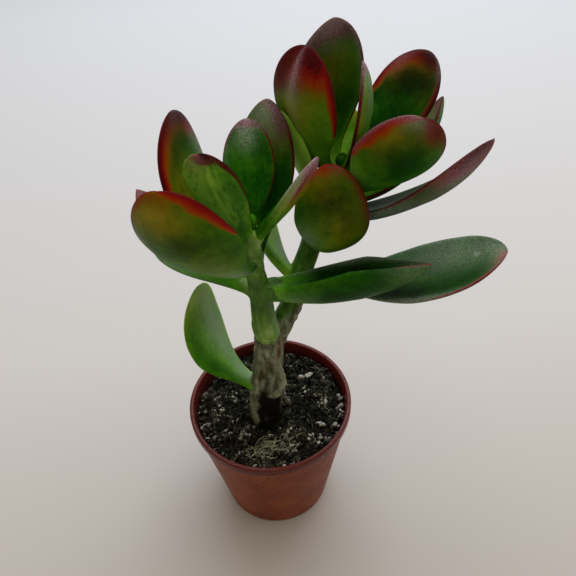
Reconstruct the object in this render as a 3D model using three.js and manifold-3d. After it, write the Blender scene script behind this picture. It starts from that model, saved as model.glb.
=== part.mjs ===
// A young jade plant in a small round nursery pot.
// Millimetres and degrees, +Z up. The origin is the middle of the pot's underside, +X is the side that the
// right branch leans to, and -Y is the front.

import * as THREE from 'three';
import { mergeVertices } from 'three/addons/utils/BufferGeometryUtils.js';
import Module from 'manifold-3d';

const wasm = await Module();
wasm.setup();

// ---------------------------------------------------------------- driving dimensions

const GAP = 0.3; // between pieces that touch on the real plant
const WELD = 1e-4; // corners closer than this are one

const POT = {
  height: 49.5,
  rimRadius: 27.5, // outside of the lip
  baseRadius: 19.5,
  wall: 1.1,
  floor: 1.6,
  lipHeight: 3,
  lipStep: 0.8, // how far the lip stands out from the wall below it
  edge: 0.4, // rounding of the rim and the base
  drainHoles: 6,
  drainHoleRadius: 2.2,
  drainHoleSides: 12,
  drainCircleRadius: 13,
};
const ROUND_SIDES = 40;

const SOIL = {
  level: 45.8, // mean height of the surface
  mound: 0.8, // how far it rises towards the stem
  edgeDrop: 1.2, // it has shrunk down a little along the wall
  edgePower: 12, // how closely the drop keeps to the wall
  roughness: 0.5,
  rings: 7,
  seed: 11,
};

// Centrelines of the stem with their radii: [x, y, z, radius]
const STEM_PATHS = {
  trunk: [
    [-2.2, -3.2, 24, 5.2],
    [-1.8, -3, 40, 5.6],
    [-1.5, -2.5, 52, 5.3],
    [0, -1.8, 66, 4.8],
    [1.5, -1.5, 82, 4.4],
  ],
  left: [
    [1.3, -2, 74, 3.9],
    [1, -3, 82, 4],
    [0.4, -4.6, 94, 3.5],
    [0, -6.5, 106, 2.9],
    [-1, -9, 118, 2.4],
    [-1.1, -10, 125.5, 2.2],
    [-0.8, -10.3, 129, 1.4],
  ],
  right: [
    [1, -1, 74, 3.4],
    [4, 0.2, 82, 3.6],
    [8.8, 2, 91, 3.3],
    [11.3, 4, 99, 3.2],
    [14.4, 6, 106, 3.1],
    [17.8, 8, 115, 2.9],
    [20.7, 9, 122, 2.7],
    [23.2, 10, 127.6, 2.4],
    [24.6, 10.3, 131, 1.4],
  ],
};
const STEM_SIDES = 12;
const STEM_RINGS_PER_SPAN = 2;
const JOINT_SWELL = 0.12; // share of the radius that a leaf joint adds
const JOINT_LENGTH = 2.2;
const HALVINGS = 30; // of a centreline, to find a height on it

const LEAF = {
  thickness: 2.9,
  widest: 0.6, // share of the length at which it is widest
  baseWidth: 0.26, // share of the full width where it leaves the stem
  tipWidth: [2.1, 0.56], // powers that round the outline off at a blunt tip
  tipPoint: [-0.9, 0.34], // what a fully pointed tip adds to those powers
  baseSwell: 0.12, // share of the thickness that the base adds
  tipThickness: [2.2, 0.6], // powers that thin the blade out to the tip
  upperShare: 0.38, // share of the thickness that lies above the blade's middle surface
  rings: 11,
  ringPower: 1.15, // crowds the rings towards the tip
  sides: 10,
  midribSteps: 60,
};
const BUD = {
  place: 0.985, // share of the branch's curve at which its buds are rooted
  heading: { left: 20, right: 60 },
  length: 4.5,
  width: 3,
  thickness: 1.8,
  rise: 74,
  curl: 10,
  sweep: 0,
  roll: 0,
  twist: 0,
  fold: 35,
  taper: 1.5,
  point: 0,
  rings: 5,
  sides: 6,
};

// The leaves from the bottom of each stem up, in opposite pairs. Heading is the direction a leaf grows in,
// counted from +X towards +Y; rise is its slope at the base, and curl and sweep are what rise and heading
// gain by the tip; roll tips the blade about its own midrib and twist is what roll gains by the tip; fold
// is half the angle of its channel; taper draws the base in, and point makes a blunt tip, 0, a sharp one, 1.
// name, stem, height, heading, rise, curl, sweep, roll, twist, length, width, fold, taper, point
const LEAVES = [
  ['leaf_trunk', 'trunk', 58, 169, 32, 74, -13, 2, -8, 50.5, 21, 7, 3, 0],
  ['leaf_left_1a', 'left', 105.5, 147, 5.5, 52.5, -2, -10, -10.5, 44, 17, 7, 2.6, 0.8],
  ['leaf_left_1b', 'left', 106, -15, -13, 58, 2.5, -23, -11, 47.5, 27, 73, 1, 0.9],
  ['leaf_left_2a', 'left', 117, 235, 22, 65, -4, 19, 9, 48, 22, 32, 1.7, 0],
  ['leaf_left_2b', 'left', 117, 69, 47, 33, -6, 1, 3, 40.5, 15.5, 14, 2.5, 0.2],
  ['leaf_left_3a', 'left', 122.5, 174, 40, 59, -3, -6, -8, 40.5, 20.5, 6, 2.2, 0.1],
  ['leaf_left_3b', 'left', 125.5, -15.5, 50, 11.5, -10, 1.5, -14, 29.5, 10.5, 11, 3, 0.3],
  ['leaf_left_4a', 'left', 126.5, 227, 55, 21, 8, 16, 9, 32, 12.5, 27, 1.7, 0],
  ['leaf_left_4b', 'left', 126.5, 79, 56, 9, 6, 0, 3, 27.5, 12.5, 30, 2.1, 0],
  ['leaf_right_1a', 'right', 99, 160, 45, 53, 1, 3, 3, 32, 13.5, 32, 2.4, 0.3],
  ['leaf_right_1b', 'right', 100.5, -21, -7, 50, 2, -13, 15, 58.5, 26.5, 22, 2.4, 0],
  ['leaf_right_2a', 'right', 112.5, -84, 1, 133, -1, -17, -5, 39.5, 19, 27, 2.1, 0],
  ['leaf_right_2b', 'right', 121.5, 62, 15, 62, 0, 0, 0, 28.5, 14, 21, 3.4, 0.6],
  ['leaf_right_3a', 'right', 119.5, 156, 67, -5, 15, 14, 15, 33, 17, 36, 2, 0],
  ['leaf_right_3b', 'right', 118, -18, 1, 64, -2, -17, -13, 50.5, 21.5, 22, 1.2, 0.1],
  ['leaf_right_4a', 'right', 127, -62, 16, 60, -5, -24, -16, 43.5, 20.5, 43, 3.4, 0],
  ['leaf_right_4b', 'right', 124.5, 93, 49, 78, 4, 4, 4, 47.5, 19.5, 20, 3.4, 0.2],
  ['leaf_right_5a', 'right', 128.5, 199, 46, 61, 7, 8, 12, 38.5, 20, 6, 3.3, 0],
  ['leaf_right_5b', 'right', 121, 9, 0, 83, -5, -5, -14, 43.5, 22, 21, 2.1, 0.6],
  ['leaf_right_6a', 'right', 129.5, 10, 39, 24, 7, 1, 14, 36.5, 21, 12, 2.4, 0],
  ['leaf_right_6b', 'right', 127, -33, 58, 44, 2, 9, 7, 34.5, 17, 10, 2.2, 0.9],
].map(([name, stem, height, heading, rise, curl, sweep, roll, twist, length, width, fold, taper, point]) => ({
  name, stem, height, heading, rise, curl, sweep, roll, twist, length, width, fold, taper, point,
}));

const COLOURS = {
  pot: [0x8a5140, 0.55],
  soil: [0x2b2724, 0.95],
  stem: [0x5f6b43, 0.7],
  leaf: [0x4a6b2c, 0.4],
};

// ---------------------------------------------------------------- shared tools

const radians = THREE.MathUtils.degToRad;
const lerp = THREE.MathUtils.lerp;

// A closed skin over rings of points, each ring counted anticlockwise about the way the rings run. Both
// ends close on a middle point. The two halves of a ring are split into triangles as mirror images.
function loft(rings, endPoint) {
  const sides = rings[0].length;
  const last = rings.length - 1;
  const points = rings.flat();
  const startMiddle = points.push(middleOf(rings[0])) - 1;
  const endMiddle = points.push(endPoint ?? middleOf(rings[last])) - 1;
  const at = (ring, side) => ring * sides + (side % sides);
  const index = [];
  for (let side = 0; side < sides; side++) {
    index.push(startMiddle, at(0, side + 1), at(0, side));
    index.push(endMiddle, at(last, side), at(last, side + 1));
    for (let ring = 0; ring < last; ring++) {
      const [a, b] = [at(ring, side), at(ring, side + 1)];
      const [d, c] = [at(ring + 1, side), at(ring + 1, side + 1)];
      if (side < sides / 2) index.push(a, b, c, a, c, d);
      else index.push(a, b, d, b, c, d);
    }
  }
  const geometry = new THREE.BufferGeometry().setFromPoints(points);
  geometry.setIndex(index);
  return geometry;
}

function middleOf(points) {
  const sum = points.reduce((total, point) => total.add(point), new THREE.Vector3());
  return sum.divideScalar(points.length);
}

function circle(radius, height, sides = ROUND_SIDES) {
  return Array.from({ length: sides }, (_, side) => {
    const angle = (2 * Math.PI * side) / sides;
    return new THREE.Vector3(radius * Math.cos(angle), radius * Math.sin(angle), height);
  });
}

function toSolid(geometry) {
  geometry.deleteAttribute('normal');
  geometry.deleteAttribute('uv');
  const merged = mergeVertices(geometry, WELD);
  return new wasm.Manifold(new wasm.Mesh({
    numProp: 3,
    vertProperties: new Float32Array(merged.attributes.position.array),
    triVerts: new Uint32Array(merged.index.array),
  }));
}

function toMesh(name, solid, [colour, roughness]) {
  const { vertProperties, triVerts } = solid.getMesh();
  const geometry = new THREE.BufferGeometry();
  geometry.setAttribute('position', new THREE.BufferAttribute(vertProperties, 3));
  geometry.setIndex(new THREE.BufferAttribute(triVerts, 1));
  geometry.computeVertexNormals();
  const material = new THREE.MeshStandardMaterial({ color: colour, roughness, metalness: 0 });
  const mesh = new THREE.Mesh(geometry, material);
  mesh.name = name;
  return mesh;
}

// A cut can leave scraps: only the largest body of a solid is kept
function largestBody(solid) {
  const bodies = solid.decompose();
  return bodies.reduce((best, body) => (body.volume() > best.volume() ? body : best));
}

// The same draw of numbers between 0 and 1 at every run
function seededRandom(seed) {
  let state = seed;
  return () => {
    state = (state * 1664525 + 1013904223) % 4294967296;
    return state / 4294967296;
  };
}

// ---------------------------------------------------------------- pot and soil

const wallTop = POT.height - POT.lipHeight;
const wallTopRadius = POT.rimRadius - POT.lipStep;
const insideRadius = (z) => lerp(POT.baseRadius, wallTopRadius, z / wallTop) - POT.wall;

function potSolid() {
  const { height, rimRadius, baseRadius, floor, edge } = POT;
  const profile = [
    [baseRadius - edge, 0],
    [baseRadius, edge],
    [wallTopRadius, wallTop],
    [rimRadius - edge, wallTop + edge],
    [rimRadius, wallTop + 2 * edge],
    [rimRadius, height - edge],
    [rimRadius - edge, height],
    [insideRadius(height) + edge, height],
    [insideRadius(height), height - edge],
    [insideRadius(floor), floor],
  ];
  const shell = toSolid(loft(profile.map(([radius, z]) => circle(radius, z))));
  const { drainHoles, drainHoleRadius, drainHoleSides, drainCircleRadius } = POT;
  const holes = Array.from({ length: drainHoles }, (_, hole) => {
    const drill = new THREE.CylinderGeometry(drainHoleRadius, drainHoleRadius, 4 * floor, drainHoleSides);
    const angle = (2 * Math.PI * (hole + 0.5)) / drainHoles;
    drill.rotateX(Math.PI / 2);
    drill.translate(drainCircleRadius * Math.cos(angle), drainCircleRadius * Math.sin(angle), 0);
    return toSolid(drill);
  });
  return holes.reduce((pot, hole) => pot.subtract(hole), shell);
}

// A plug as wide as the pot's inside, with a rough surface that mounds up towards the stem
function soilSolid() {
  const { level, mound, edgeDrop, edgePower, roughness, rings, seed } = SOIL;
  const random = seededRandom(seed);
  const bottom = POT.floor + GAP;
  const edgeLevel = level - edgeDrop;
  const edgeRadius = insideRadius(edgeLevel) - GAP;
  const surface = Array.from({ length: rings }, (_, ring) => {
    const share = 1 - ring / rings; // 1 at the wall, towards 0 at the middle
    const height = lerp(level + mound, level, share) - edgeDrop * share ** edgePower;
    const ringPoints = circle(edgeRadius * share, height);
    for (const point of ringPoints) point.z += roughness * share * (random() - 0.5) * 2;
    return ringPoints;
  });
  const plug = [circle(insideRadius(bottom) - GAP, bottom), ...surface];
  return toSolid(loft(plug));
}

// ---------------------------------------------------------------- stem

const CURVES = Object.fromEntries(
  Object.entries(STEM_PATHS).map(([name, path]) => [name, stemCurve(path)]),
);

function stemCurve(path) {
  const points = path.map(([x, y, z]) => new THREE.Vector3(x, y, z));
  return new THREE.CatmullRomCurve3(points, false, 'catmullrom');
}

// The point of a stem's centreline at a height
function pointAtHeight(stem, height) {
  const curve = CURVES[stem];
  let low = 0;
  let high = 1;
  for (let step = 0; step < HALVINGS; step++) {
    const middle = (low + high) / 2;
    if (curve.getPoint(middle).z < height) low = middle;
    else high = middle;
  }
  return curve.getPoint(low);
}

function radiusAt(stem, share, z) {
  const path = STEM_PATHS[stem];
  const place = share * (path.length - 1);
  const span = Math.min(Math.floor(place), path.length - 2);
  const radius = lerp(path[span][3], path[span + 1][3], place - span);
  const swell = LEAVES.filter((leaf) => leaf.stem === stem)
    .reduce((most, leaf) => Math.max(most, Math.exp(-(((z - leaf.height) / JOINT_LENGTH) ** 2))), 0);
  return radius * (1 + JOINT_SWELL * swell);
}

// Round sections along a centreline, each square to it
function stemTube(stem, grow) {
  const curve = CURVES[stem];
  const steps = STEM_RINGS_PER_SPAN * (STEM_PATHS[stem].length - 1);
  const rings = Array.from({ length: steps + 1 }, (_, step) => {
    const share = step / steps;
    const along = curve.getTangent(share);
    const centre = curve.getPoint(share);
    if (step === 0) centre.addScaledVector(along, -grow);
    if (step === steps) centre.addScaledVector(along, grow);
    const sideways = new THREE.Vector3().crossVectors(along, new THREE.Vector3(0, 1, 0)).normalize();
    const across = new THREE.Vector3().crossVectors(along, sideways);
    const radius = radiusAt(stem, share, centre.z) + grow;
    return circle(radius, 0, STEM_SIDES).map((point) => new THREE.Vector3()
      .addScaledVector(sideways, point.x).addScaledVector(across, point.y).add(centre));
  });
  return toSolid(loft(rings));
}

// The two small closed leaves at a branch's tip, rooted just inside it
function budSolid(stem, grow) {
  const root = CURVES[stem].getPoint(BUD.place);
  const [one, other] = [0, 180].map((turn) => {
    const bud = { ...BUD, heading: BUD.heading[stem] + turn };
    return bladeSolid(bud, root, grow);
  });
  return one.add(other);
}

function stemSolid(grow = 0) {
  const wood = Object.keys(STEM_PATHS).map((stem) => stemTube(stem, grow));
  const buds = Object.keys(BUD.heading).map((stem) => budSolid(stem, grow));
  return [...wood, ...buds].reduce((whole, piece) => whole.add(piece));
}

// ---------------------------------------------------------------- leaves

// Share of the full width at a share of the length: it swells from the base to the widest place on a
// quarter sine wave, then closes on the tip
function outline(share, taper, point) {
  const { widest, baseWidth } = LEAF;
  if (share < widest) return lerp(baseWidth, 1, Math.sin((Math.PI / 2) * (share / widest)) ** taper);
  const [inner, outer] = LEAF.tipWidth.map((power, place) => power + LEAF.tipPoint[place] * point);
  return (1 - ((share - widest) / (1 - widest)) ** inner) ** outer;
}

// Share of the full thickness: a little over 1 at the base, even in the middle, thin at the tip
function thicknessShare(share) {
  const { widest, baseSwell, tipThickness: [inner, outer] } = LEAF;
  if (share < widest) return 1 + baseSwell * (1 - share / widest) ** 2;
  return (1 - ((share - widest) / (1 - widest)) ** inner) ** outer;
}

// A fleshy channelled blade. Its midrib starts at root and runs along a slope and a heading that change
// evenly along it; its section is an arc of a circle, thick in the middle and thin at both margins.
function bladeSolid(leaf, root, grow = 0) {
  const { thickness, rings, ringPower, sides, upperShare, midribSteps: steps } = { ...LEAF, ...leaf };
  const midrib = [root.clone()];
  for (let step = 0; step < steps; step++) {
    const { along } = bladeFrame(leaf, (step + 0.5) / steps);
    midrib.push(midrib[step].clone().addScaledVector(along, (leaf.length + grow) / steps));
  }
  const sections = Array.from({ length: rings }, (_, ring) => {
    const share = Math.sin((Math.PI / 2) * (ring / rings)) ** ringPower;
    const place = share * steps;
    const before = Math.floor(place);
    const centre = midrib[before].clone().lerp(midrib[before + 1], place - before);
    const { sideways, up } = bladeFrame(leaf, share);
    const halfWidth = (leaf.width / 2) * outline(share, leaf.taper, leaf.point) + grow;
    const depth = thickness * thicknessShare(share);
    const bend = radians(leaf.fold);
    return Array.from({ length: sides }, (_, side) => {
      const angle = (2 * Math.PI * side) / sides;
      const turn = bend * Math.cos(angle);
      const lift = Math.sin(angle);
      const off = lift * (depth * (lift > 0 ? upperShare : 1 - upperShare) + grow);
      const x = (halfWidth * Math.sin(turn)) / bend - Math.sin(turn) * off;
      const y = (halfWidth * (1 - Math.cos(turn))) / bend + Math.cos(turn) * off;
      return centre.clone().addScaledVector(sideways, x).addScaledVector(up, y);
    });
  });
  return toSolid(loft(sections, midrib[steps]));
}

// The blade's own directions at a share of its length: along the midrib, sideways, and up out of the
// upper face
function bladeFrame(leaf, share) {
  const slope = radians(leaf.rise + leaf.curl * share);
  const heading = radians(leaf.heading + leaf.sweep * share);
  const roll = radians(leaf.roll + leaf.twist * share);
  const level = new THREE.Vector3(-Math.sin(heading), Math.cos(heading), 0);
  const along = new THREE.Vector3(
    Math.cos(slope) * Math.cos(heading), Math.cos(slope) * Math.sin(heading), Math.sin(slope),
  );
  const sideways = level.clone().applyAxisAngle(along, roll);
  const up = new THREE.Vector3().crossVectors(along, sideways);
  return { along, sideways, up };
}

// Every leaf gives way to the stem and to the leaves below it
function leafSolids(stem) {
  const below = [];
  return LEAVES.map((leaf) => {
    const root = pointAtHeight(leaf.stem, leaf.height);
    const whole = bladeSolid(leaf, root);
    const solid = below.reduce((rest, other) => rest.subtract(other), whole.subtract(stem));
    below.push(bladeSolid(leaf, root, GAP));
    return [leaf.name, largestBody(solid)];
  });
}

// ---------------------------------------------------------------- the plant

const stemWithGap = stemSolid(GAP);
const plant = new THREE.Group();
plant.add(toMesh('pot', potSolid(), COLOURS.pot));
plant.add(toMesh('soil', soilSolid().subtract(stemWithGap), COLOURS.soil));
plant.add(toMesh('stem', stemSolid(), COLOURS.stem));
for (const [name, solid] of leafSolids(stemWithGap)) plant.add(toMesh(name, solid, COLOURS.leaf));

export default plant;
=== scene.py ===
"""A young jade plant in a small nursery pot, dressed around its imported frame.

Fleshy waxy leaves with reddened margins stand in opposite pairs on a forked stem, which turns woody towards
the dark peat in a terracotta-brown plastic pot. Shapes are worked out in millimetres and stored in metres.
"""

import math
from functools import partial

import bpy
import numpy as np
from mathutils import Matrix, Vector


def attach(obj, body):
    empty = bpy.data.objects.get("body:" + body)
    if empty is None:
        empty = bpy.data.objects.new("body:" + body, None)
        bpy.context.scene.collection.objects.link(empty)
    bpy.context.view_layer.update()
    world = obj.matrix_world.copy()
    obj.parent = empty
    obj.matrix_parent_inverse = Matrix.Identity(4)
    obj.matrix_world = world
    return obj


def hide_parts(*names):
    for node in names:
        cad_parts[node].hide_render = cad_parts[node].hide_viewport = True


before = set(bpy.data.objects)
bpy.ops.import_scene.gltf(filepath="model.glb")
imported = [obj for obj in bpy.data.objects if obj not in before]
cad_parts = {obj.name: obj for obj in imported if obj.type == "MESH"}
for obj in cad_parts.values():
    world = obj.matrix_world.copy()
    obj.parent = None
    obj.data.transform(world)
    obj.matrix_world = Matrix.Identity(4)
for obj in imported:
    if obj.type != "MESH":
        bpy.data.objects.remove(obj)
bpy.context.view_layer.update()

MM = 0.001
SCENE = bpy.context.scene
TURN = 2 * math.pi

# -------------------------------------------------------------------------------------- the real sizes, mm

POT_HEIGHT = 49.5
POT_RIM_RADIUS = 27.5
POT_BASE_RADIUS = 19.5
POT_WALL = 1.1
POT_FLOOR = 1.6
POT_LIP_HEIGHT = 3.0
POT_LIP_STEP = 0.8
POT_SLOPE = (POT_RIM_RADIUS - POT_LIP_STEP - POT_BASE_RADIUS) / (POT_HEIGHT - POT_LIP_HEIGHT)
DRAIN_HOLES = 6
DRAIN_HOLE_RADIUS = 2.2
DRAIN_CIRCLE_RADIUS = 13

SOIL_LEVEL = 45.8
SOIL_MOUND = 0.8
SOIL_EDGE_DROP = 1.2

# Centrelines of the stem with their radii: x, y, z, radius
STEM_PATHS = {
    "trunk": [
        (-2.2, -3.2, 24, 5.2),
        (-1.8, -3, 40, 5.6),
        (-1.5, -2.5, 52, 5.3),
        (0, -1.8, 66, 4.8),
        (1.5, -1.5, 82, 4.4),
    ],
    "left": [
        (1.3, -2, 74, 3.9),
        (1, -3, 82, 4),
        (0.4, -4.6, 94, 3.5),
        (0, -6.5, 106, 2.9),
        (-1, -9, 118, 2.4),
        (-1.1, -10, 125.5, 2.2),
        (-0.8, -10.3, 129, 1.4),
    ],
    "right": [
        (1, -1, 74, 3.4),
        (4, 0.2, 82, 3.6),
        (8.8, 2, 91, 3.3),
        (11.3, 4, 99, 3.2),
        (14.4, 6, 106, 3.1),
        (17.8, 8, 115, 2.9),
        (20.7, 9, 122, 2.7),
        (23.2, 10, 127.6, 2.4),
        (24.6, 10.3, 131, 1.4),
    ],
}

# On the trunk's front right: a flap of old bark that curls left at its foot, and a rusty groove above it
BARK_FLAP = [
    (3.5, -5.9, 74), (4.4, -5.7, 70), (4.9, -5.6, 66), (4.3, -6.4, 62.8), (2.6, -7.4, 61), (0.6, -8, 60.6)]
RUST_GROOVE = [(4.5, -4.6, 85), (4.4, -4.9, 81), (4.0, -5.2, 77), (3.5, -5.9, 73)]

LEAF_THICKNESS = 2.9
LEAF_WIDEST = 0.6
LEAF_BASE_WIDTH = 0.26
LEAF_UPPER_SHARE = 0.38

# Each leaf: stem, height of its joint, heading from +X towards +Y, slope at the base, what slope and heading
# gain by the tip, roll about the midrib and what it gains, length, width, half angle of the channel, taper of
# the base, and how pointed the tip is
LEAVES = {
    "leaf_trunk": ("trunk", 58, 169, 32, 74, -13, 2, -8, 50.5, 21, 7, 3, 0),
    "leaf_left_1a": ("left", 105.5, 147, 5.5, 52.5, -2, -10, -10.5, 44, 17, 7, 2.6, 0.8),
    "leaf_left_1b": ("left", 106, -15, -13, 58, 2.5, -23, -11, 47.5, 27, 73, 1, 0.9),
    "leaf_left_2a": ("left", 117, 235, 22, 65, -4, 19, 9, 48, 22, 32, 1.7, 0),
    "leaf_left_2b": ("left", 117, 69, 47, 33, -6, 1, 3, 40.5, 15.5, 14, 2.5, 0.2),
    "leaf_left_3a": ("left", 122.5, 174, 40, 59, -3, -6, -8, 40.5, 20.5, 6, 2.2, 0.1),
    "leaf_left_3b": ("left", 125.5, -15.5, 50, 11.5, -10, 1.5, -14, 29.5, 10.5, 11, 3, 0.3),
    "leaf_left_4a": ("left", 126.5, 227, 55, 21, 8, 16, 9, 32, 12.5, 27, 1.7, 0),
    "leaf_left_4b": ("left", 126.5, 79, 56, 9, 6, 0, 3, 27.5, 12.5, 30, 2.1, 0),
    "leaf_right_1a": ("right", 99, 160, 45, 53, 1, 3, 3, 32, 13.5, 32, 2.4, 0.3),
    "leaf_right_1b": ("right", 100.5, -21, -7, 50, 2, -13, 15, 58.5, 26.5, 22, 2.4, 0),
    "leaf_right_2a": ("right", 112.5, -84, 1, 133, -1, -17, -5, 39.5, 19, 27, 2.1, 0),
    "leaf_right_2b": ("right", 121.5, 62, 15, 62, 0, 0, 0, 28.5, 14, 21, 3.4, 0.6),
    "leaf_right_3a": ("right", 119.5, 156, 67, -5, 15, 14, 15, 33, 17, 36, 2, 0),
    "leaf_right_3b": ("right", 118, -18, 1, 64, -2, -17, -13, 50.5, 21.5, 22, 1.2, 0.1),
    "leaf_right_4a": ("right", 127, -62, 16, 60, -5, -24, -16, 43.5, 20.5, 43, 3.4, 0),
    "leaf_right_4b": ("right", 124.5, 93, 49, 78, 4, 4, 4, 47.5, 19.5, 20, 3.4, 0.2),
    "leaf_right_5a": ("right", 128.5, 199, 46, 61, 7, 8, 12, 38.5, 20, 6, 3.3, 0),
    "leaf_right_5b": ("right", 121, 9, 0, 83, -5, -5, -14, 43.5, 22, 21, 2.1, 0.6),
    "leaf_right_6a": ("right", 129.5, 10, 39, 24, 7, 1, 14, 36.5, 21, 12, 2.4, 0),
    "leaf_right_6b": ("right", 127, -33, 58, 44, 2, 9, 7, 34.5, 17, 10, 2.2, 0.9),
}

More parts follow.
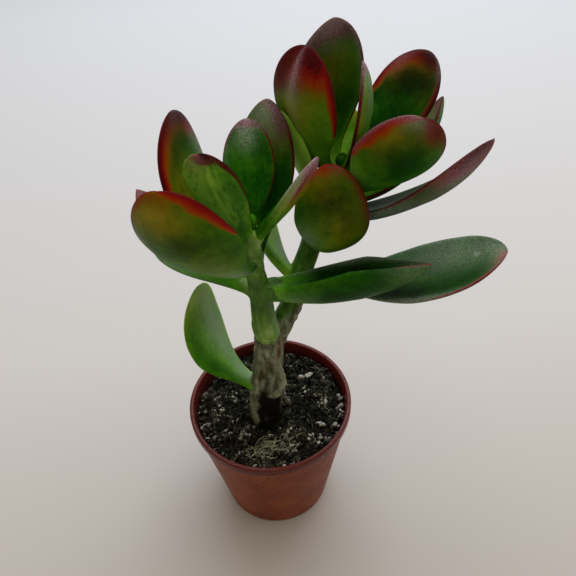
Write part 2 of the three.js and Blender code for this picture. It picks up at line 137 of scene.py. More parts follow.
# How each leaf is coloured. tone: how bright its green is on the upper and lower face, 0 dark to 1 bright,
# partly painted light and shade: a face is made brighter or darker than its own green where the light falls
# on
# it or leaves it in shade. rim: how many mm of the left and right margins, seen from above along the leaf,
# are
# reddened. dusk: how much those margins go from red to maroon. keel: how far the underside's middle stands
# out.
# crease: how far the channel goes from round to V-shaped. streaks: how much darker the fine streaks are than
# the
# skin. spots: places where a mark changes; many spots of the green's tone are painted light and painted
# shade, and many spots of the bloom are a painted sheen along edges, tips and keels. Each has an amount, then
# the share of the length and its spread, and, unless it runs right across both faces, the place across from
# -1 to 1, its
# spread and the face: 1 upper, -1 lower, 0 both. What a leaf leaves out is as in PLAIN_LOOK.
PLAIN_LOOK = dict(rim=(0, 0), dusk=(0.5, 0.5), keel=0.1, crease=0.1, streaks=0.06, spots={})
LOOKS = {
    "leaf_trunk": dict(tone=(0.8, 0.7), spots=dict(
        green_tone=[(-0.22, 0.8, 0.13, 0.5, 0.5, 1), (-0.4, 0.42, 0.25, 0.7, 0.35, 1), (0.22, 0.98, 0.15),
               (0.2, 0.6, 0.4, -1, 0.12, 0)],
        olive=[(0.3, 1, 0.2)],
        bloom_and_sheen=[(2, 0.18, 0.1, -0.1, 0.7, 1), (2.9, 0.6, 0.45, -0.5, 0.55, 1), (0.9, 1, 0.1)])),
    "leaf_left_1a": dict(tone=(0.6, 0.56), rim=(0, 0.2), dusk=(0.5, 0.7), spots=dict(
        green_tone=[(-0.12, 0.2, 0.12, 0.4, 0.6, 1), (0.3, 1, 0.12)],
        olive=[(0.3, 0.4, 0.25, -0.4, 0.7, 1), (0.8, 0.95, 0.12)],
        red=[(0.5, 0.98, 0.08)],
        rim=[(0.7, 1, 0.12)],
        bloom_and_sheen=[(2, 0.98, 0.1), (1.6, 0.6, 0.3, 1, 0.12, 0)])),
    "leaf_left_1b": dict(tone=(0.34, 0.44), dusk=(0.6, 0.5), keel=0.05, crease=0.4, spots=dict(
        green_tone=[(0.38, 0.07, 0.15), (-0.2, 0.55, 0.2, -0.5, 0.4, -1), (-0.15, 0.8, 0.16, -1, 0.4, -1),
               (-0.34, 0.55, 0.22, 0.55, 0.4, 1)],
        rim=[(0.4, 0.98, 0.1)],
        bloom_and_sheen=[(1.3, 0.22, 0.14, -0.4, 0.3, -1), (1.3, 0.93, 0.13), (2.6, 0.6, 0.4, 1, 0.12, 0)])),
    "leaf_left_2a": dict(tone=(0.48, 0.46), rim=(3.7, 0.7), dusk=(0.25, 0.45), keel=0.15, spots=dict(
        green_tone=[(-0.22, 0.73, 0.12, 0.05, 0.3, -1), (-0.55, 0.05, 0.12, 0.4, 0.8, -1),
               (0.2, 0.42, 0.2, 0.15, 0.5, -1), (-0.3, 0.45, 0.1, -0.85, 0.2, -1),
               (0.25, 0.22, 0.12, 0.3, 0.35, -1), (0.3, 0.93, 0.14, -0.3, 0.8, -1)],
        olive=[(1, 0.93, 0.2, -0.3, 1, -1), (0.35, 0.5, 0.2, 0.3, 0.5, -1)],
        red=[(0.3, 0.99, 0.07, 0, 2, -1), (0.3, 0.9, 0.14, -1, 0.25, -1)],
        rim=[(-5.6, 0.47, 0.24, 1, 0.8, 0)],
        bloom_and_sheen=[(2.6, 0.22, 0.13, 0.35, 0.3, -1), (0.9, 0.42, 0.15, 0.1, 0.4, -1),
               (4, 0.68, 0.12, -0.9, 0.25, -1)])),
    "leaf_left_2b": dict(tone=(0.42, 0.3), rim=(0.2, 1.3), dusk=(0.6, 0.95), spots=dict(
        green_tone=[(-0.35, 0.45, 0.2, -0.2, 1, 1), (-0.6, 0.04, 0.08), (0.2, 0.88, 0.12, 0.1, 0.9, 1)],
        olive=[(0.9, 0.8, 0.12, 0, 0.8, 1)],
        red=[(0.45, 0.92, 0.15, -0.7, 0.4, 1), (0.3, 1, 0.06, 0, 2, 1)],
        rim=[(-1.1, 0.5, 0.2, -1, 0.5, 0)],
        bloom_and_sheen=[(3.3, 0.98, 0.1, 0.1, 1, 1), (1.5, 0.84, 0.09, 0.2, 0.8, 1)])),
    "leaf_left_3a": dict(tone=(0.46, 0.3), rim=(2.8, 0.8), dusk=(0.15, 0.5), spots=dict(
        green_tone=[(0.35, 0.36, 0.2, -0.5, 0.7, 1), (-0.25, 0.85, 0.12, 0, 0.8, 1)],
        olive=[(0.95, 0.5, 0.32, 0.35, 0.6, 1)],
        red=[(0.85, 1.04, 0.13, 0, 2, 1), (0.5, 0.88, 0.16, 1, 0.5, 1), (0.55, 0.9, 0.12, -0.9, 0.4, 1)],
        rim=[(-3.8, 0.18, 0.3, 1, 0.8, 0)],
        dusk=[(0.7, 1, 0.12, 0, 2, 1)],
        bloom_and_sheen=[(1.1, 1, 0.07, -0.3, 0.9, 1), (2.6, 0.7, 0.2, -0.95, 0.3, 1)])),
    "leaf_left_3b": dict(tone=(0.5, 0.58), rim=(0.3, 0), dusk=(0.45, 0.3), keel=0.2, crease=0.3, spots=dict(
        green_tone=[(0.3, 0.65, 0.3, -1, 0.3, 0), (-0.28, 0.35, 0.22, 0, 0.8, 1)],
        olive=[(0.9, 0.75, 0.2)],
        red=[(0.3, 0.85, 0.14, 0.3, 1, -1), (0.75, 0.99, 0.1), (0.9, 0.8, 0.15, -0.68, 0.1, -1)],
        bloom_and_sheen=[(2.6, 0.88, 0.24, -1, 0.3, 0), (3, 1, 0.1), (1.6, 0.78, 0.2, -0.8, 0.3, 1)])),
    "leaf_left_4a": dict(
        tone=(0.85, 0.94), rim=(0.5, 0), dusk=(0.95, 0.5), keel=0.35, streaks=0.26, spots=dict(
        green_tone=[(-0.25, 0.2, 0.14, 0.5, 0.5, -1), (0.25, 0.56, 0.2, -0.3, 0.6, -1),
               (-0.35, 0.7, 0.35, 0.75, 0.35, -1)],
        olive=[(0.4, 0.95, 0.08, -0.6, 0.8, -1)],
        red=[(0.85, 1, 0.07, 0.7, 0.6, -1), (0.35, 1, 0.05, 0, 2, -1)],
        rim=[(0.8, 0.9, 0.12, 1, 0.5, 0)],
        bloom_and_sheen=[(1, 0.98, 0.08, -0.4, 0.8, -1), (0.5, 0.5, 0.3, 0.1, 0.6, -1)])),
    "leaf_left_4b": dict(tone=(0.34, 0.4), rim=(0, 0.1), dusk=(0.7, 0.9), spots=dict(
        green_tone=[(0.75, 0.04, 0.08, -0.4, 1, 1), (0.15, 0.7, 0.15, 0.1, 0.5, 1)],
        red=[(0.6, 1, 0.07)],
        rim=[(0.5, 0.95, 0.2)],
        bloom_and_sheen=[(3.2, 0.99, 0.09, 0.1, 1.3, 1), (2.1, 0.84, 0.1, 0.12, 0.5, 1),
               (0.9, 0.75, 0.2, 1, 0.2, 1)])),
    "leaf_right_1a": dict(tone=(1, 0.9), spots=dict(
        green_tone=[(-0.32, 0.4, 0.22, 0.8, 0.35, 1)],
        bloom_and_sheen=[(4.2, 0.3, 0.2, -0.4, 0.6, 1)])),
    "leaf_right_1b": dict(tone=(0.33, 0.3), rim=(0.08, 0.05), dusk=(0.5, 0.4), spots=dict(
        green_tone=[(-0.25, 0.5, 0.4, -0.7, 0.35, 1)],
        red=[(0.4, 1.02, 0.08, -0.5, 0.8, 1)],
        rim=[(0.8, 0.96, 0.16, -1, 0.5, 0)],
        bloom_and_sheen=[(1.9, 0.75, 0.3, 0.5, 0.6, 1), (1.6, 1, 0.08, 0, 2, 1), (3, 0.86, 0.015, 0.3, 0.06, 1),
               (1.6, 0.6, 0.5, 1, 0.1, 0), (2.4, 0.55, 0.25, -1, 0.12, 0)])),
    "leaf_right_2a": dict(tone=(0.45, 0.42), rim=(1.2, 0.8), dusk=(0.85, 0.4), keel=0.15, spots=dict(
        green_tone=[(0.4, 0.42, 0.18, -0.2, 1, -1), (-0.14, 0.8, 0.1, 0.1, 0.8, -1)],
        olive=[(0.85, 0.9, 0.13, -0.3, 0.7, -1), (0.7, 0.62, 0.2, 0.35, 0.6, -1)],
        red=[(0.7, 1.03, 0.1, 0, 2, -1), (0.4, 0.8, 0.22, 1, 0.3, -1)],
        rim=[(-0.8, 0.1, 0.35)],
        bloom_and_sheen=[(2.6, 0.42, 0.14, -0.65, 0.4, -1)])),
    "leaf_right_2b": dict(tone=(0.85, 0.7), spots=dict(
        olive=[(0.6, 0.97, 0.1, -0.5, 1, 1)])),
    # painted light: this leaf's tone is set at and past the top to brighten it where it lies deep in the
    # plant's shade
    "leaf_right_3a": dict(tone=(1, 1.1), keel=0.2),
    "leaf_right_3b": dict(tone=(0.2, 0.3), rim=(0.6, 0.5), dusk=(0.8, 0.6), keel=0.2, spots=dict(
        olive=[(0.7, 0.68, 0.15)],
        red=[(0.8, 1, 0.16, -0.6, 1, 0), (0.5, 0.84, 0.14, -0.8, 0.4, -1)],
        rim=[(-0.6, 0.1, 0.35)],
        bloom_and_sheen=[(2.6, 0.82, 0.2, -0.3, 0.7, -1), (3, 0.34, 0.1, -0.9, 0.25, -1),
               (1.8, 0.48, 0.1, -0.8, 0.3, -1)])),
    "leaf_right_4a": dict(tone=(0.42, 0.42), rim=(1.6, 3.6), dusk=(0.8, 0.1), spots=dict(
        green_tone=[(0.55, 0.42, 0.14, -0.8, 0.4, -1), (-0.2, 0.66, 0.14, 0.05, 0.4, -1),
               (0.2, 0.88, 0.14, -0.6, 0.3, -1), (0.12, 0.45, 0.14, -0.3, 0.5, -1)],
        olive=[(0.9, 0.86, 0.18, -0.6, 0.4, -1), (0.5, 0.94, 0.1, 0.2, 0.8, -1)],
        red=[(0.6, 0.95, 0.1, 0.7, 0.5, -1)],
        rim=[(-3.8, 0.36, 0.25, -1, 0.7, 0), (-1.4, 0.2, 0.4, 1, 0.6, 0)],
        bloom_and_sheen=[(1.4, 0.8, 0.3, -1, 0.1, 0), (2.4, 1, 0.06, -0.3, 0.8, -1)])),
    "leaf_right_4b": dict(tone=(0.6, 0.3), rim=(0.5, 0.9), dusk=(0.7, 0.9), spots=dict(
        green_tone=[(0.4, 0.16, 0.14, -0.3, 0.8, 1), (-0.2, 0.42, 0.12, -0.4, 0.6, 1),
               (0.4, 0.35, 0.15, -1, 0.15, 1)],
        olive=[(0.85, 0.7, 0.16, 0.2, 0.7, 1)],
        red=[(0.75, 1, 0.12, 0, 2, 1), (0.35, 0.75, 0.12, 0.7, 0.4, 1)],
        bloom_and_sheen=[(3.2, 0.94, 0.12, 0.3, 1, 1), (4, 1.02, 0.07, 0, 2, 1), (3, 0.88, 0.1, 1, 0.2, 1),
               (2.4, 0.85, 0.2, -1, 0.16, 0), (2, 0.6, 0.3, 1, 0.1, 0)])),
    "leaf_right_5a": dict(
        tone=(0.5, 0.6), rim=(2.6, 3.2), dusk=(0.3, 0.85), keel=0.6, crease=0.3, spots=dict(
        green_tone=[(0.3, 0.3, 0.15, 0, 2, -1), (0.2, 0.62, 0.15, 0.1, 0.5, -1)],
        olive=[(0.85, 0.66, 0.16, -0.1, 0.7, -1)],
        red=[(0.95, 1.02, 0.2, 0, 2, -1), (0.4, 0.95, 0.14, 0.6, 0.5, -1),
             (0.45, 0.8, 0.1, -0.75, 0.4, -1)],
        rim=[(-4.2, 0.32, 0.28)],
        bloom_and_sheen=[(2.8, 0.84, 0.15, -0.05, 0.12, -1), (0.7, 0.72, 0.12, -0.1, 0.3, -1)])),
    "leaf_right_5b": dict(tone=(0.58, 0.5), rim=(0.1, 0.4), dusk=(0.6, 0.8), spots=dict(
        green_tone=[(-0.12, 0.4, 0.15, 0, 2, 1)],
        olive=[(0.5, 0.8, 0.15, 0, 2, 1)],
        red=[(0.45, 1, 0.12, 0, 2, 1)],
        bloom_and_sheen=[(0.5, 0.98, 0.08, 0, 2, 1), (1.5, 0.97, 0.1, -0.5, 0.5, -1)])),
    "leaf_right_6a": dict(tone=(0.2, 0.24), rim=(3, 1.6), dusk=(0.3, 0.9), spots=dict(
        green_tone=[(-0.2, 0.84, 0.1, 0, 1, 1), (1.2, 0.03, 0.12, 0, 2, 1), (0.2, 0.42, 0.15, 0.8, 0.4, 1)],
        olive=[(0.6, 0.8, 0.13, 0.5, 0.5, 1), (0.4, 0.78, 0.1, -0.7, 0.4, 1)],
        red=[(1.05, 1.03, 0.12, 0, 2, 1), (0.45, 0.84, 0.13, 0.9, 0.4, 1)],
        rim=[(-2.6, 0.3, 0.25, 1, 0.7, 0), (-1.4, 0.15, 0.3, -1, 0.6, 0)],
        dusk=[(0.5, 1, 0.1, 0, 2, 1)],
        bloom_and_sheen=[(1.1, 0.88, 0.12, 0.85, 0.25, 1), (0.9, 1.01, 0.03, 0, 2, 1),
               (1.2, 0.94, 0.08, -1, 0.2, 1)])),
    "leaf_right_6b": dict(tone=(0.66, 0.62), rim=(0.4, 0.3), dusk=(0.8, 0.8), keel=0.15, spots=dict(
        olive=[(0.5, 0.7, 0.2, -1, 0.5, -1)],
        red=[(0.4, 1, 0.09)],
        bloom_and_sheen=[(3, 0.98, 0.1), (1.8, 0.8, 0.15, -0.1, 0.6, -1)])),
}

BUD = dict(length=4.5, width=3, thickness=1.8, slope=74, curl=10, fold=35, taper=1.5, point=0)
BUD_HEADINGS = {"left": 20, "right": 60}

# -------------------------------------------------------------------------------------------- shared tools


def linear(code):
    """An sRGB hex colour as linear red, green and blue, with an alpha of 1."""
    channels = np.array([int(code[place : place + 2], 16) / 255 for place in (1, 3, 5)])
    bright = ((channels + 0.055) / 1.055) ** 2.4
    return (*np.where(channels <= 0.04045, channels / 12.92, bright).tolist(), 1.0)


def node(tree, kind, *values, out=0, stops=(), **settings):
    """Adds a shader node and gives back one of its outputs. values fill its inputs in order, each with a
    number, a colour code or another node's output, and None leaves one as it is. stops are a colour ramp's
    places and codes, and settings are the node's own options. A kind in capitals is a Math operation."""
    if kind.isupper():
        kind, settings["operation"] = "Math", kind
    new = tree.nodes.new("ShaderNode" + kind)
    for key, value in settings.items():
        setattr(new, key, value)
    for socket, value in zip([s for s in new.inputs if s.enabled], values):
        if isinstance(value, bpy.types.NodeSocket):
            tree.links.new(value, socket)
        elif value is not None:
            socket.default_value = linear(value) if isinstance(value, str) else value
    if stops:
        ramp = new.color_ramp.elements
        (ramp[0].position, ramp[0].color), (ramp[1].position, ramp[1].color) = [
            (place, linear(code)) for place, code in (stops[0], stops[-1])
        ]
        for place, code in stops[1:-1]:
            ramp.new(place).color = linear(code)
    return [s for s in new.outputs if s.enabled][out]


def finish(name, **constants):
    """A new material, with the constants set on its shader's own sockets. Gives back the material, a function
    that adds nodes to it, and one that links a node's output into its shader."""
    coat = bpy.data.materials.new(name)
    coat.use_nodes = True
    tree = coat.node_tree
    shader = tree.nodes["Principled BSDF"]
    for key, value in constants.items():
        shader.inputs[key.replace("_", " ")].default_value = value
    return coat, partial(node, tree), lambda key, output: tree.links.new(output, shader.inputs[key])


def drift(points, size, seed):
    """Smooth noise from -1 to 1 that changes over about that size: random values on a lattice of cubes, where
    a point mixes its cube's eight corners by smoothstep weights."""
    lattice = np.random.default_rng(seed).random((32, 32, 32)) * 2 - 1
    place = np.asarray(points) / size
    cell = np.floor(place).astype(int)
    share = place - cell
    share = share * share * (3 - 2 * share)
    total = 0
    for corner in np.ndindex(2, 2, 2):
        weight = np.where(corner, share, 1 - share).prod(-1)
        x, y, z = np.moveaxis((cell + corner) % 32, -1, 0)
        total = total + weight * lattice[x, y, z]
    return total


def xyz(x, y, z):
    """Points from coordinates, which stretch to each other's shape."""
    return np.stack(np.broadcast_arrays(x, y, z), -1)


def unit(arrows):
    """The same directions with a length of 1."""
    return arrows / np.linalg.norm(arrows, axis=-1, keepdims=True)


def between(at, places, rows):
    """Rows of numbers, given at places, read off evenly between them."""
    return np.stack([np.interp(at, places, column) for column in np.transpose(rows)], -1)


def ease(low, high, value):
    """0 below low, 1 above high, and a smoothstep between them."""
    share = np.clip((value - low) / (high - low), 0, 1)
    return share * share * (3 - 2 * share)


def skin_mesh(name, rings, first, last, marks=()):
    """Closed skins in one mesh. rings holds (skins, rings, points around) points, each ring counted
    anticlockwise about the way the rings run, and each end closes on one point. marks are (name, values)
    pairs, with a value for every skin, or for every point in the order of rings, first, last."""
    count, rows, around = rings.shape[:3]
    points = np.concatenate([rings.reshape(-1, 3), first.reshape(-1, 3), last.reshape(-1, 3)])
    here = np.arange(count * rows * around).reshape(count, rows, around)
    side = np.roll(here, -1, axis=2)
    quads = np.stack([here[:, :-1], side[:, :-1], side[:, 1:], here[:, 1:]], -1).reshape(-1, 4)
    start = np.broadcast_to((count * rows * around + np.arange(count))[:, None], (count, around))
    caps = np.concatenate([
        np.stack([side[:, 0], here[:, 0], start], -1),
        np.stack([here[:, -1], side[:, -1], start + count], -1),
    ]).reshape(-1, 3)
    mesh = bpy.data.meshes.new(name)
    mesh.from_pydata(points * MM, [], quads.tolist() + caps.tolist())
    for mark, values in marks:
        if len(values) == count:
            values = np.concatenate([np.repeat(values, rows * around), values, values])
        mesh.attributes.new(mark, "FLOAT", "POINT").data.foreach_set("value", np.ravel(values))
    mesh.shade_smooth()
    return mesh


def stand(name, data):
    """A new object in the scene."""
    new = bpy.data.objects.new(name, data)
    SCENE.collection.objects.link(new)
    return new


def baked(made, *tools):
    """The mesh that an object's modifiers make of it. The object and its tools are taken away."""
    whole = bpy.data.meshes.new_from_object(made.evaluated_get(bpy.context.evaluated_depsgraph_get()))
    for used in (made, *tools):
        bpy.data.objects.remove(used)
    return whole


def vectors(items, key="co"):
    """An array of the points or normals of a mesh."""
    numbers = np.empty(3 * len(items))
    items.foreach_get(key, numbers)
    return numbers.reshape(-1, 3)


def piece(name, mesh, coat, slot, *nodes):
    """Puts a mesh into the scene as a piece that stands for those CAD nodes."""
    mesh.materials.clear()
    mesh.materials.append(coat)
    new = stand(name, mesh)
    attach(new, "root")
    if nodes:
        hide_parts(*nodes)
    return new


def lumps(centres, sizes, seed, rows=4, around=6, crumple=0.35, spin=None):
    """Small stones: each is an ellipsoid with three half sizes, whose skin smooth noise moves in and out."""
    random = np.random.default_rng(seed)
    up = np.linspace(-1, 1, rows + 2)[1:-1] * 0.5 * math.pi
    turn = np.arange(around) * TURN / around
    up = up[:, None]
    sphere = xyz(np.cos(up) * np.cos(turn), np.cos(up) * np.sin(turn), np.sin(up))
    spin = (random.random(len(centres)) * TURN if spin is None else spin)[:, None, None]
    knobs = drift(sphere + 40 * random.random((len(centres), 1, 1, 3)), 0.8, seed)[..., None]
    body = sphere * (1 + crumple * knobs) * sizes[:, None, None, :]
    x = body[..., 0] * np.cos(spin) - body[..., 1] * np.sin(spin)
    y = body[..., 0] * np.sin(spin) + body[..., 1] * np.cos(spin)
    body = xyz(x, y, body[..., 2]) + centres[:, None, None, :]
    pole = sizes[:, 2:] * np.array([0, 0, 0.9])
    return body, centres - pole, centres + pole


def threads(paths, radii, around=4, towards=(0.3, 0.2, 0.93)):
    """Round threads along paths of points. Each ring lies square to its path, and its first point square to
    the direction towards as well."""
    along = unit(np.gradient(paths, axis=1))
    sideways = unit(np.cross(along, towards))
    across = np.cross(along, sideways)
    turn = (np.arange(around) * TURN / around)[:, None]
    ring = np.cos(turn) * sideways[:, :, None] + np.sin(turn) * across[:, :, None]
    return paths[:, :, None] + ring * radii[:, :, None, None], paths[:, 0], paths[:, -1]


# ---------------------------------------------------------------------------------------- camera and light


def place_camera():
    """The photograph's viewpoint: above the pot's front, looking down and a little to the right."""
    yaw, pitch, roll = np.radians([3.8, 42.5, -3.0])
    ahead = Vector((math.sin(yaw) * math.cos(pitch), math.cos(yaw) * math.cos(pitch), -math.sin(pitch)))
    level = ahead.cross(Vector((0, 0, 1))).normalized()
    above = level.cross(ahead)
    right = math.cos(roll) * level + math.sin(roll) * above
    up = math.cos(roll) * above - math.sin(roll) * level
    camera = bpy.data.cameras.new("camera")
    camera.sensor_width = 36
    camera.lens = 36 * 580 / 576  # the photograph's focal length in pixels over its width
    camera.clip_start = 0.005
    view = stand("camera", camera)
    turned = Matrix((right, up, -ahead)).transposed().to_4x4()
    view.matrix_world = Matrix.Translation(Vector((0, -121.2, 211.0)) * MM) @ turned
    SCENE.camera = view


def place_light(name, at, size, power, colour):
    """A square soft light that faces the plant's middle."""
    light = bpy.data.lights.new(name, "AREA")
    light.size = size
    light.energy = power
    light.color = linear(colour)[:3]
    lamp = stand(name, light)
    lamp.location = at
    lamp.rotation_euler = (Vector((0, 0, 0.08)) - Vector(at)).to_track_quat("-Z", "Y").to_euler()


def place_studio():
    """A pale floor under a broad cool light from behind and a weaker one from above, in a dim warm room."""
    place_light("back_window", (0.2, 0.6, 1.02), 1.15, 9.6, "#e8f1ff")
    place_light("top_panel", (0.2, 0.1, 1.2), 1.2, 6.4, "#fffaf2")
    world = bpy.data.worlds.new("surround")
    world.use_nodes = True
    world.node_tree.nodes["Background"].inputs["Color"].default_value = linear("#e6d6c0")
    world.node_tree.nodes["Background"].inputs["Strength"].default_value = 0.4
    SCENE.world = world
    SCENE.view_settings.view_transform = "Standard"

    floor_coat, add, link = finish("pale_painted_board", Roughness=0.75)
    # painted light and shade: the board is painted cooler and brighter behind the pot, and warmer and darker
    # towards the front, to stand in for the light falling off towards the front
    depth = add("SeparateXYZ", add("TexCoord", out=3), out=1)
    depth = add("MapRange", depth, -0.1, 0.6)
    link("Base Color", add("ValToRGB", depth, stops=(
        (0.0, "#b6afa6"), (0.25, "#cdcbc9"), (0.5, "#d1d2d4"), (1.0, "#dadee4"))))
    mesh = bpy.data.meshes.new("floor")
    mesh.from_pydata([(-4, -4, 0), (4, -4, 0), (4, 4, 0), (-4, 4, 0)], [], [(0, 1, 2, 3)])
    mesh.materials.append(floor_coat)
    stand("floor", mesh)


# ----------------------------------------------------------------------------------------------- materials


def moulded_polypropylene():
    """Injection-moulded polypropylene: a semi-matte terracotta brown with a polished maroon lip, a fine
    grain, faint scuffs and dried splashes of peat near the rim. Its cavity is painted dark maroon as painted
    shade."""
    coat, add, link = finish("moulded_polypropylene", IOR=1.49, Roughness=0.5, Specular_IOR_Level=0.2)
    place = add("TexCoord", out=3)
    height = add("SeparateXYZ", place, out=2)
    cloud = add("TexNoise", place, 90.0, 4.0)
    body = add("ValToRGB", cloud, stops=((0.35, "#783317"), (0.5, "#843b19"), (0.68, "#8f4620")))
    # painted shade: the cavity's lining is painted dark maroon for the shade inside the pot
    inside = add("Attribute", attribute_name="inside", out=2)
    body = add("Mix", inside, body, "#471712", data_type="RGBA")
    lip = add("MapRange", height, 0.0462, 0.0468)
    maroon = add("MULTIPLY", lip, 0.9)
    body = add("Mix", maroon, body, "#5c1f19", data_type="RGBA")
    # splashes: spots of 0.3 to 1 mm, thick under the lip and rare below it
    specks = add("TexNoise", place, 900.0, 3.0, 0.6)
    patches = add("TexNoise", place, 140.0, 2.0)
    near_rim = add("MapRange", height, 0.02, 0.047, 0.0, 0.055)
    patches = add("MULTIPLY", patches, 0.16)
    bar = add("SUBTRACT", 0.76, near_rim)
    bar = add("SUBTRACT", bar, patches)
    dirt = add("SUBTRACT", specks, bar)
    dirt = add("MULTIPLY", dirt, 30.0, use_clamp=True)
    link("Base Color", add("Mix", dirt, body, "#241c18", data_type="RGBA"))
    scuffs = add("TexNoise", place, 400.0, 4.0)
    rough = add("MapRange", scuffs, 0.3, 0.7, 0.42, 0.56)
    # handling has polished the lip
    rough = add("Mix", lip, rough, 0.26)
    dusty = add("MULTIPLY", dirt, 0.4)
    link("Roughness", add("ADD", rough, dusty))
    grain = add("TexNoise", place, 2600.0, 2.0)
    relief = add("ADD", grain, add("MULTIPLY", dirt, 2.0))
    link("Normal", add("Bump", 0.12, 0.0002, None, relief))
    return coat


def peat():
    """Moist sphagnum peat with a faint green film of algae, its tone varying in fine grains. Painted shade
    and
    light go over it: near-black in its cracks and where it lies low, and grey where it stands high."""
    coat, add, link = finish("sphagnum_peat", Roughness=0.95, IOR=1.4, Specular_IOR_Level=0.2)
    place = add("TexCoord", out=3)
    grit = add("TexNoise", place, 1500.0, 4.0, 0.7)
    relief_light_and_shade = add("Attribute", attribute_name="relief_light_and_shade", out=2)
    # painted light and shade: low peat is painted darker and high peat paler, by its relief mark
    tone = add("ADD", grit, add("MapRange", relief_light_and_shade, -1.6, 1.2, -0.22, 0.08))
    body = add("ValToRGB", tone, stops=(
        (0.36, "#050403"), (0.47, "#1b1b14"), (0.56, "#3e3f33"), (0.65, "#77786a"), (0.75, "#a9aa9b")))
    film = add("TexNoise", place, 110.0, 2.0)
    film = add("ValToRGB", film, stops=((0.5, "#000000"), (0.7, "#ffffff")))
    film = add("MULTIPLY", film, 0.4)
    link("Base Color", add("Mix", film, body, "#3a421c", data_type="RGBA"))
    link("Normal", add("Bump", 0.8, 0.0006, None, grit))
    return coat


def peat_crumb():
    """Loose crumbs and splinters of peat: each one has its own black, brown or grey, by its mark, which also
    carries some painted light and shade.
    """
    coat, add, link = finish("peat_crumb", Roughness=0.9, IOR=1.4, Specular_IOR_Level=0.25)
    place = add("TexCoord", out=3)
    own = add("Attribute", attribute_name="shade", out=2)
    grit = add("TexNoise", place, 2500.0, 3.0, 0.7)
    mixed = add("ADD", own, add("MapRange", grit, 0.3, 0.7, -0.2, 0.2))
    link("Base Color", add("ValToRGB", mixed, stops=(
        (0.0, "#050504"), (0.35, "#232119"), (0.55, "#4d4b3c"), (0.75, "#8a8a79"), (1.0, "#cccdbd"))))
    link("Normal", add("Bump", 0.6, 0.0004, None, grit))
    return coat


def straw():
    """Dead fibres and straw in the peat: from brown-black to a bleached greenish grey, by their mark."""
    coat, add, link = finish("dead_straw", Roughness=0.8, IOR=1.45)
    own = add("Attribute", attribute_name="shade", out=2)
    link("Base Color", add("ValToRGB", own, stops=(
        (0.0, "#14120c"), (0.4, "#3f3f30"), (0.7, "#7c7f66"), (1.0, "#b4b795"))))
    return coat


def perlite():
    """Expanded perlite: matt white glass foam, dusted with peat in its pores."""
    coat, add, link = finish("expanded_perlite", Roughness=0.9, IOR=1.5)
    place = add("TexCoord", out=3)
    pores = add("TexNoise", place, 1800.0, 3.0, 0.7)
    link("Base Color", add("ValToRGB", pores, stops=(
        (0.36, "#5c574e"), (0.52, "#b5b2a8"), (0.7, "#d8d6cd"))))
    link("Normal", add("Bump", 0.7, 0.0004, None, pores))
    return coat


def waxy_leaf():
    """Succulent leaf skin: a waxy green cuticle over wet translucent flesh, with red pigment towards the
    margins and a dusting of pale bloom. The bloom also carries a painted sheen along edges, tips and keels,
    and the green's tone carries painted light and shade."""
    coat, add, link = finish("waxy_leaf_skin", IOR=1.45, Specular_IOR_Level=0.06, Subsurface_Weight=0.1,
                             Subsurface_Scale=0.0012, Subsurface_Radius=(1.0, 1.4, 0.3))
    place = add("TexCoord", out=3)
    green_tone, olive, red, dusk, bloom_and_sheen, rim, edge = [
        add("Attribute", attribute_name=mark, out=2)
        for mark in ("green_tone", "olive", "red", "dusk", "bloom_and_sheen", "rim", "edge")]
    mottle = add("TexNoise", place, 160.0, 4.0, 0.55)
    fine = add("TexNoise", place, 900.0, 3.0, 0.6)
    uneven = add("MapRange", mottle, 0.3, 0.7, -0.1, 0.1)
    finer = add("MapRange", fine, 0.3, 0.7, -0.05, 0.05)
    # green, by its tone, which is partly painted light and painted shade
    tone = add("ADD", add("ADD", green_tone, uneven), finer)
    green = add("ValToRGB", tone, stops=(
        (0.0, "#052402"), (0.3, "#164f03"), (0.6, "#44820f"), (0.8, "#66a322"), (1.0, "#90c641")))
    warm = add("ValToRGB", tone, stops=((0.1, "#332d03"), (0.45, "#6a6608"), (0.9, "#aa9a20")))
    share = add("MapRange", mottle, 0.3, 0.7, 0.8, 1.2)
    brown = add("MULTIPLY", olive, share, use_clamp=True)
    green = add("Mix", brown, green, warm, data_type="RGBA")
    # red pigment: a band along the margin, as wide as the mark says, and patches
    reach = add("MULTIPLY", rim, share)
    band = add("DIVIDE", edge, reach)
    band = add("SUBTRACT", 1.0, band, use_clamp=True)
    flush = add("MULTIPLY", red, add("MapRange", fine, 0.3, 0.7, 0.8, 1.2))
    flush = add("MAXIMUM", band, flush, use_clamp=True)
    bright = add("ValToRGB", flush, stops=(
        (0.0, "#7a7206"), (0.25, "#9c6008"), (0.45, "#b04008"), (0.7, "#a0180a"), (0.9, "#760f0e"),
        (1.0, "#5a0f12")))
    dull = add("ValToRGB", flush, stops=(
        (0.0, "#3a4808"), (0.3, "#48340c"), (0.6, "#4a170e"), (1.0, "#2c080c")))
    pigment = add("Mix", dusk, bright, dull, data_type="RGBA")
    shown = add("MapRange", flush, 0.0, 0.36, interpolation_type="SMOOTHSTEP")
    body = add("Mix", shown, green, pigment, data_type="RGBA")
    # bloom and painted sheen: a wax dust in grains of about 0.4 mm, grey-green on green skin and mauve on
    # red;
    # the same pale grains also lay a painted sheen and painted highlights along edges, tips and keels
    grains = add("TexNoise", place, 2400.0, 2.0, 0.6)
    dust_and_sheen = add("MapRange", grains, 0.35, 0.65, 0.3, 1.0)
    dust_and_sheen = add("MULTIPLY", bloom_and_sheen, dust_and_sheen)
    dust_and_sheen = add("MULTIPLY", dust_and_sheen, 0.36)
    wax_and_sheen = add("Mix", shown, "#98a895", "#a88e9c", data_type="RGBA")
    link("Base Color", add("Mix", dust_and_sheen, body, wax_and_sheen, data_type="RGBA"))
    link("Roughness", add("MapRange", bloom_and_sheen, 0.0, 1.0, 0.48, 0.6))
    relief = add("ADD", add("TexNoise", place, 1400.0, 2.0), mottle)
    link("Normal", add("Bump", 0.12, 0.0004, None, relief))
    return coat


